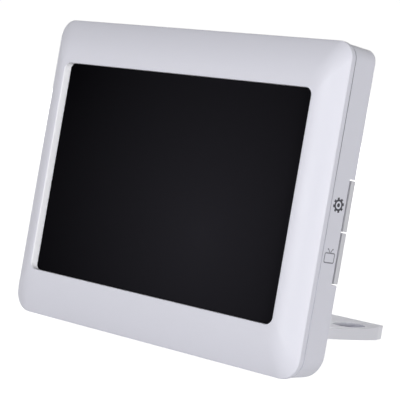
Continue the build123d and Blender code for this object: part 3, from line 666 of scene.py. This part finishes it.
class PHOTO_FRAME_OT_inner_parts(bpy.types.Operator):
    """Finishes of the display, the boards, the speaker, the screws and the hinge"""

    bl_idname = "photo_frame.inner_parts"
    bl_label = "Inner parts"

    def execute(self, context):
        steel = plated_steel("zinc_steel", linear("#9C9C99"), 0.35, 0.3)
        tin = plated_steel("tinned_steel", linear("#C4C4C0"), 0.28, 0.25)
        nylon = filled_nylon("filled_nylon", linear("#1B1B1D"))
        board = solder_mask(linear("#145A32"))
        film = ribbon_film(linear("#A8642A"))
        finishes = {
            steel: (
                "lcd_screws", "case_screws", "board_screws", "key_board_screws", "hinge_pins",
                "hinge_washers"),
            tin: ("lcd_backplate", "processor_shield"),
            nylon: ("board_parts", "upper_switch", "lower_switch", "speaker_frame"),
            board: ("main_board", "key_board"),
            film: ("display_ribbon", "key_ribbon"),
            pressed_paper(linear("#2A2A2C")): ("speaker_cone",),
            closed_foam(linear("#1A1A1A")): ("window_gasket",),
            display_glass(linear("#0B0B0E")): ("lcd_glass",),
            dotted_guide(linear("#E4E6EA")): ("light_guide",),
            moulded_abs("plunger_abs", linear("#D8D6CE"), (0.4, 0.5), 0.5, 0.01): (
                "upper_plunger", "lower_plunger"),
        }
        for finish, nodes in finishes.items():
            for node in nodes:
                dress_node(node, finish)
        return {"FINISHED"}


class PHOTO_FRAME_OT_inlets(bpy.types.Operator):
    """Power inlet with its nickel pin, and the stick socket with its tongue and gilt contacts"""

    bl_idname = "photo_frame.inlets"
    bl_label = "Inlets"

    pin_radius: length("Pin radius", "Radius of the power inlet's pin", 0.65)
    tongue_half: FloatVectorProperty(
        name="Tongue", description="Half the tongue's thickness and half its width",
        default=(0.95 * MM, 5.55 * MM), size=2, unit="LENGTH")
    tongue_tip: length("Tongue tip", "Depth of the tongue's tip inside the socket", 2.0)
    contact_size: FloatVectorProperty(
        name="Contact", description="Length, thickness and width of a contact",
        default=(6.0 * MM, 0.06 * MM, 1.0 * MM), unit="LENGTH")
    contact_inset: length("Contact inset", "From the tongue's tip to the contacts", 0.6)

    def panel_box(self, bm):
        """Lowest corner and middle of a copied node, in the panel's own directions."""
        to_panel = PANEL.inverted()
        points = [to_panel @ v.co for v in bm.verts]
        low = Vector([min(p[i] for p in points) for i in range(3)])
        high = Vector([max(p[i] for p in points) for i in range(3)])
        return low, (low + high) / 2

    def two_finishes(self, node, name, slot, finishes, is_second):
        """A copy of a node some of whose faces have a second finish, with its lowest corner and middle."""
        bm = node_copy(node)
        low, middle = self.panel_box(bm)
        to_panel = PANEL.inverted()
        for face in bm.faces:
            off = to_panel @ face.calc_center_median() - middle
            face.material_index = int(is_second(off))
        piece = make_piece(name, bm, finishes[0], "case", [node])
        piece.data.materials.append(finishes[1])
        return low, middle

    def execute(self, context):
        nylon = filled_nylon("inlet_nylon", linear("#1E1E20"))
        nickel = plated_steel("nickel_plate", linear("#B9B4A8"), 0.22, 0.2)
        tin = plated_steel("socket_steel", linear("#C4C4C0"), 0.28, 0.25)
        gilt = plated_steel("gilt_bronze", linear("#C79A4A"), 0.25, 0.2)
        pin_slack, tongue_slack = 1.05, 1.02
        near_axis = self.pin_radius * pin_slack
        self.two_finishes(
            "power_jack", "power_inlet", "part_black", (nylon, nickel),
            lambda off: math.hypot(off.y, off.z) < near_axis)
        half = [tongue_slack * side for side in self.tongue_half]
        low, middle = self.two_finishes(
            "usb_socket", "stick_socket", "pressed_steel", (tin, nylon),
            lambda off: abs(off.y) < half[0] and abs(off.z) < half[1])
        long, thick, wide = self.contact_size
        rows_mm = (-3.5, -1.0, 1.0, 3.5)
        bm = bmesh.new()
        for up in rows_mm:
            place = Vector((
                low.x + self.tongue_tip + self.contact_inset + long / 2,
                middle.y + self.tongue_half[0] + thick / 2,
                middle.z + up * MM))
            bmesh.ops.create_cube(
                bm, size=1.0, matrix=Matrix.Translation(place) @ Matrix.Diagonal((long, thick, wide, 1)))
        bmesh.ops.transform(bm, matrix=PANEL, verts=bm.verts)
        make_piece("stick_contacts", bm, gilt, "case", copied=False)
        return {"FINISHED"}


class PHOTO_FRAME_OT_side_marks(bpy.types.Operator):
    """Printed marks on the right side, before the keys: a gear and a small receiver"""

    bl_idname = "photo_frame.side_marks"
    bl_label = "Side marks"

    half_width: length("Half width", "From the middle of the case to where its draft starts", 95.8)
    draft: FloatProperty(
        name="Draft", description="Angle of the case's side", default=math.radians(1.0), subtype="ANGLE")
    draft_start: length("Draft start", "Depth at which the draft starts", 8.45)

    def place(self, depth, up):
        """Matrix from a flat mark, drawn back and up, to its place on the drafted side."""
        across = self.half_width - (depth - self.draft_start) * math.tan(self.draft)
        back = Vector((-math.sin(self.draft), math.cos(self.draft), 0))
        out = Vector((math.cos(self.draft), math.sin(self.draft), 0))
        turn = Matrix((back, Vector((0, 0, 1)), out)).transposed().to_4x4()
        return PANEL @ Matrix.Translation((across, depth, up)) @ turn

    def finish_mark(self, context, name, bm, ink, depth, up):
        """Give a flat mark its thickness and its place."""
        film = context.scene.photo_frame_sizes.print_film
        raised = bmesh.ops.extrude_face_region(bm, geom=bm.faces[:], use_keep_orig=True)["geom"]
        bmesh.ops.translate(
            bm, vec=(0, 0, film), verts=[v for v in raised if isinstance(v, bmesh.types.BMVert)])
        bmesh.ops.recalc_face_normals(bm, faces=bm.faces)
        bmesh.ops.transform(bm, matrix=self.place(depth, up), verts=bm.verts)
        make_piece(name, bm, ink, "case", copied=False)

    def circle_band(self, bm, inner, outer, steps):
        """A flat ring between two circles, and its outer edges."""
        loops = []
        for radius in (inner, outer):
            made = bmesh.ops.create_circle(bm, radius=radius, segments=steps)
            loops.append(list({e for v in made["verts"] for e in v.link_edges}))
        bmesh.ops.bridge_loops(bm, edges=loops[0] + loops[1])
        return loops[1]

    def gear(self):
        """A flat gear, a little longer front to back: a toothed ring and a plain hub."""
        bm = bmesh.new()
        inside, root, tip, hub = 1.80 * MM, 2.75 * MM, 3.55 * MM, 0.95 * MM
        teeth, steps_each, tooth_steps = 8, 6, 3
        stretch = 1.18
        outer = self.circle_band(bm, inside, root, teeth * steps_each)
        pitch = math.tau / teeth
        tips = []
        for edge in outer:
            middle = (edge.verts[0].co + edge.verts[1].co) / 2
            along = (math.atan2(middle.y, middle.x) / pitch) % 1.0
            if along < tooth_steps / steps_each:
                tips.append(edge)
        made = bmesh.ops.extrude_edge_only(bm, edges=tips)["geom"]
        for vert in {v for v in made if isinstance(v, bmesh.types.BMVert)}:
            vert.co *= tip / root
        bmesh.ops.create_circle(bm, cap_ends=True, radius=hub, segments=24)
        bmesh.ops.scale(bm, vec=(stretch, 1.0, 1.0), verts=bm.verts)
        return bm

    def bar(self, bm, start, end, width):
        """A flat bar from one point to another."""
        start, end = Vector(start), Vector(end)
        run = end - start
        place = (Matrix.Translation(((start + end) / 2).to_3d())
                 @ Matrix.Rotation(math.atan2(run.y, run.x), 4, "Z")
                 @ Matrix.Diagonal((run.length / 2, width / 2, 1, 1)))
        bmesh.ops.create_grid(bm, x_segments=1, y_segments=1, size=1, matrix=place)

    def receiver(self):
        """A flat outline of a small receiver with two short aerials."""
        bm = bmesh.new()
        inner_mm, corner_mm, stroke_mm = (7.1, 3.9), 0.5, 0.55
        loops = []
        for grow in (0.0, stroke_mm):
            wide, tall = [(side + 2 * grow) * MM for side in inner_mm]
            radius = (corner_mm + grow) * MM
            loops.append(rounded_ring(bm, wide, tall, (radius, radius), 0.0, 5))
        bmesh.ops.bridge_loops(bm, edges=loops[0] + loops[1])
        bmesh.ops.rotate(bm, matrix=Matrix.Rotation(math.radians(-90), 3, "X"), verts=bm.verts)
        for side in (-1, 1):
            self.bar(bm, (side * 0.35 * MM, 2.5 * MM), (side * 1.45 * MM, 3.9 * MM), 0.5 * MM)
            self.bar(bm, (side * 1.35 * MM, 4.05 * MM), (side * 2.3 * MM, 4.05 * MM), 0.6 * MM)
        return bm

    def execute(self, context):
        colours = context.scene.photo_frame_colours
        dark = pad_ink("dark_pad_ink", colours.dark_ink)
        light = pad_ink("light_pad_ink", colours.light_ink)
        self.finish_mark(context, "gear_mark", self.gear(), dark, 14.1 * MM, 4.3 * MM)
        self.finish_mark(context, "receiver_mark", self.receiver(), light, 14.0 * MM, -20.3 * MM)
        return {"FINISHED"}


class PHOTO_FRAME_OT_stage(bpy.types.Operator):
    """White floor, soft studio light and the camera"""

    bl_idname = "photo_frame.stage"
    bl_label = "Stage"

    camera_place: FloatVectorProperty(
        name="Camera", description="Place of the camera in the panel's own directions",
        default=(499.58 * MM, -546.76 * MM, -1.92 * MM), unit="LENGTH")
    lens_mm: FloatProperty(name="Lens", description="Focal length in millimetres", default=135.0)
    shift_pixels: FloatVectorProperty(
        name="Shift", description="Shift of the picture in pixels", default=(-0.8, 0.65), size=2)

    def background_share(self, tree):
        """One for rays that see the background: from the camera, or by a mirror or through glass."""
        path = add(tree, "ShaderNodeLightPath")
        seen = add(
            tree, "ShaderNodeMath", {"operation": "MAXIMUM"},
            {0: path.outputs["Is Camera Ray"], 1: path.outputs["Is Glossy Ray"]})
        return add(
            tree, "ShaderNodeMath", {"operation": "MAXIMUM"},
            {0: seen.outputs[0], 1: path.outputs["Is Transmission Ray"]}).outputs[0]

    def floor(self):
        """A pale floor that takes a shadow, lifted to white where the camera sees it."""
        bm = bmesh.new()
        bmesh.ops.create_grid(bm, x_segments=1, y_segments=1, size=4.0)
        mesh = bpy.data.meshes.new("floor")
        bm.to_mesh(mesh)
        bm.free()
        material = bpy.data.materials.new("white_paper_sweep")
        material.use_nodes = True
        tree = material.node_tree
        tree.nodes.clear()
        matt = add(tree, "ShaderNodeBsdfDiffuse", {"Color": (0.55, 0.55, 0.55, 1)})
        lift = add(tree, "ShaderNodeEmission", {"Color": (1, 1, 1, 1)})
        share = add(
            tree, "ShaderNodeMath", {"operation": "MULTIPLY", 1: 0.98}, {0: self.background_share(tree)})
        tree.links.new(share.outputs[0], lift.inputs["Strength"])
        both = add(tree, "ShaderNodeAddShader", links={0: matt.outputs[0], 1: lift.outputs[0]})
        add(tree, "ShaderNodeOutputMaterial", links={"Surface": both.outputs[0]})
        mesh.materials.append(material)
        floor = bpy.data.objects.new("floor", mesh)
        bpy.context.scene.collection.objects.link(floor)

    def sky(self, scene):
        """An even grey surround that lights the object, and that is white where it is seen."""
        world = bpy.data.worlds.new("surround")
        scene.world = world
        world.use_nodes = True
        tree = world.node_tree
        tree.nodes.clear()
        strength = add(
            tree, "ShaderNodeMapRange", {"To Min": 0.05, "To Max": 1.0},
            {"Value": self.background_share(tree)})
        light = add(
            tree, "ShaderNodeBackground", {"Color": (1, 1, 1, 1)},
            {"Strength": strength.outputs["Result"]})
        add(tree, "ShaderNodeOutputWorld", links={"Surface": light.outputs[0]})

    def softbox(self, name, place, wide, tall, watts, glossy=True):
        """A soft light that faces the middle of the panel, placed in the panel's own directions."""
        lamp = bpy.data.lights.new(name, "AREA")
        lamp.shape = "RECTANGLE"
        lamp.size = wide
        lamp.size_y = tall
        lamp.energy = watts
        item = bpy.data.objects.new(name, lamp)
        here = PANEL @ Vector(place)
        towards = PANEL.translation - here
        turn = towards.to_track_quat("-Z", "Y").to_matrix().to_4x4()
        item.matrix_world = Matrix.Translation(here) @ turn
        item.visible_camera = False
        item.visible_glossy = glossy
        bpy.context.scene.collection.objects.link(item)

    def camera(self, scene):
        """The camera at the photograph's viewing angle, set in the panel's own directions."""
        view = bpy.data.cameras.new("camera")
        view.lens = self.lens_mm
        view.sensor_width = 36.0
        view.shift_x, view.shift_y = [shift / PICTURE_PIXELS for shift in self.shift_pixels]
        right = Vector((0.7437, 0.6463, 0.1709))
        down = Vector((0.1314, 0.1093, -0.9853))
        ahead = Vector((-0.6555, 0.7552, -0.0036))
        turn = Matrix((right, -down, -ahead)).transposed().to_4x4()
        item = bpy.data.objects.new("camera", view)
        item.matrix_world = PANEL @ Matrix.Translation(self.camera_place) @ turn
        scene.collection.objects.link(item)
        scene.camera = item

    def execute(self, context):
        scene = context.scene
        scene.view_settings.view_transform = "Standard"
        self.floor()
        self.sky(scene)
        self.softbox("front_softbox", (0.28, -1.63, 0.04), 0.7, 0.8, 12.3)
        self.softbox("left_softbox", (-1.23, -1.10, 0.17), 0.7, 0.8, 3.3)
        self.softbox("side_softbox", (1.50, -0.55, -0.04), 0.7, 0.3, 12.4)
        self.softbox("rear_softbox", (-0.06, 0.67, 0.18), 0.7, 0.16, 2.3, glossy=False)
        self.softbox("low_left_softbox", (-0.98, 0.66, 0.21), 0.5, 0.2, 5.0, glossy=False)
        self.camera(scene)
        return {"FINISHED"}


OPERATORS = (
    PHOTO_FRAME_OT_bezel,
    PHOTO_FRAME_OT_rear_shell,
    PHOTO_FRAME_OT_keys,
    PHOTO_FRAME_OT_leg,
    PHOTO_FRAME_OT_rubber,
    PHOTO_FRAME_OT_window,
    PHOTO_FRAME_OT_inner_parts,
    PHOTO_FRAME_OT_inlets,
    PHOTO_FRAME_OT_side_marks,
    PHOTO_FRAME_OT_stage,
)


class PHOTO_FRAME_PT_sidebar(bpy.types.Panel):
    """Lists the pieces of the photo frame"""

    bl_idname = "PHOTO_FRAME_PT_sidebar"
    bl_label = "Photo frame"
    bl_space_type = "VIEW_3D"
    bl_region_type = "UI"
    bl_category = "Photo frame"

    def draw(self, context):
        for operator in OPERATORS:
            self.layout.operator(operator.bl_idname)


CLASSES = (PhotoFrameSizes, PhotoFrameColours) + OPERATORS + (PHOTO_FRAME_PT_sidebar,)


def register():
    for cls in CLASSES:
        bpy.utils.register_class(cls)
    bpy.types.Scene.photo_frame_sizes = PointerProperty(type=PhotoFrameSizes)
    bpy.types.Scene.photo_frame_colours = PointerProperty(type=PhotoFrameColours)


def unregister():
    del bpy.types.Scene.photo_frame_colours
    del bpy.types.Scene.photo_frame_sizes
    for cls in reversed(CLASSES):
        bpy.utils.unregister_class(cls)


def main():
    register()
    bpy.ops.photo_frame.bezel()
    bpy.ops.photo_frame.rear_shell()
    bpy.ops.photo_frame.keys()
    bpy.ops.photo_frame.leg()
    bpy.ops.photo_frame.rubber()
    bpy.ops.photo_frame.window()
    bpy.ops.photo_frame.inner_parts()
    bpy.ops.photo_frame.inlets()
    bpy.ops.photo_frame.side_marks()
    bpy.ops.photo_frame.stage()


if __name__ == "__main__":
    main()
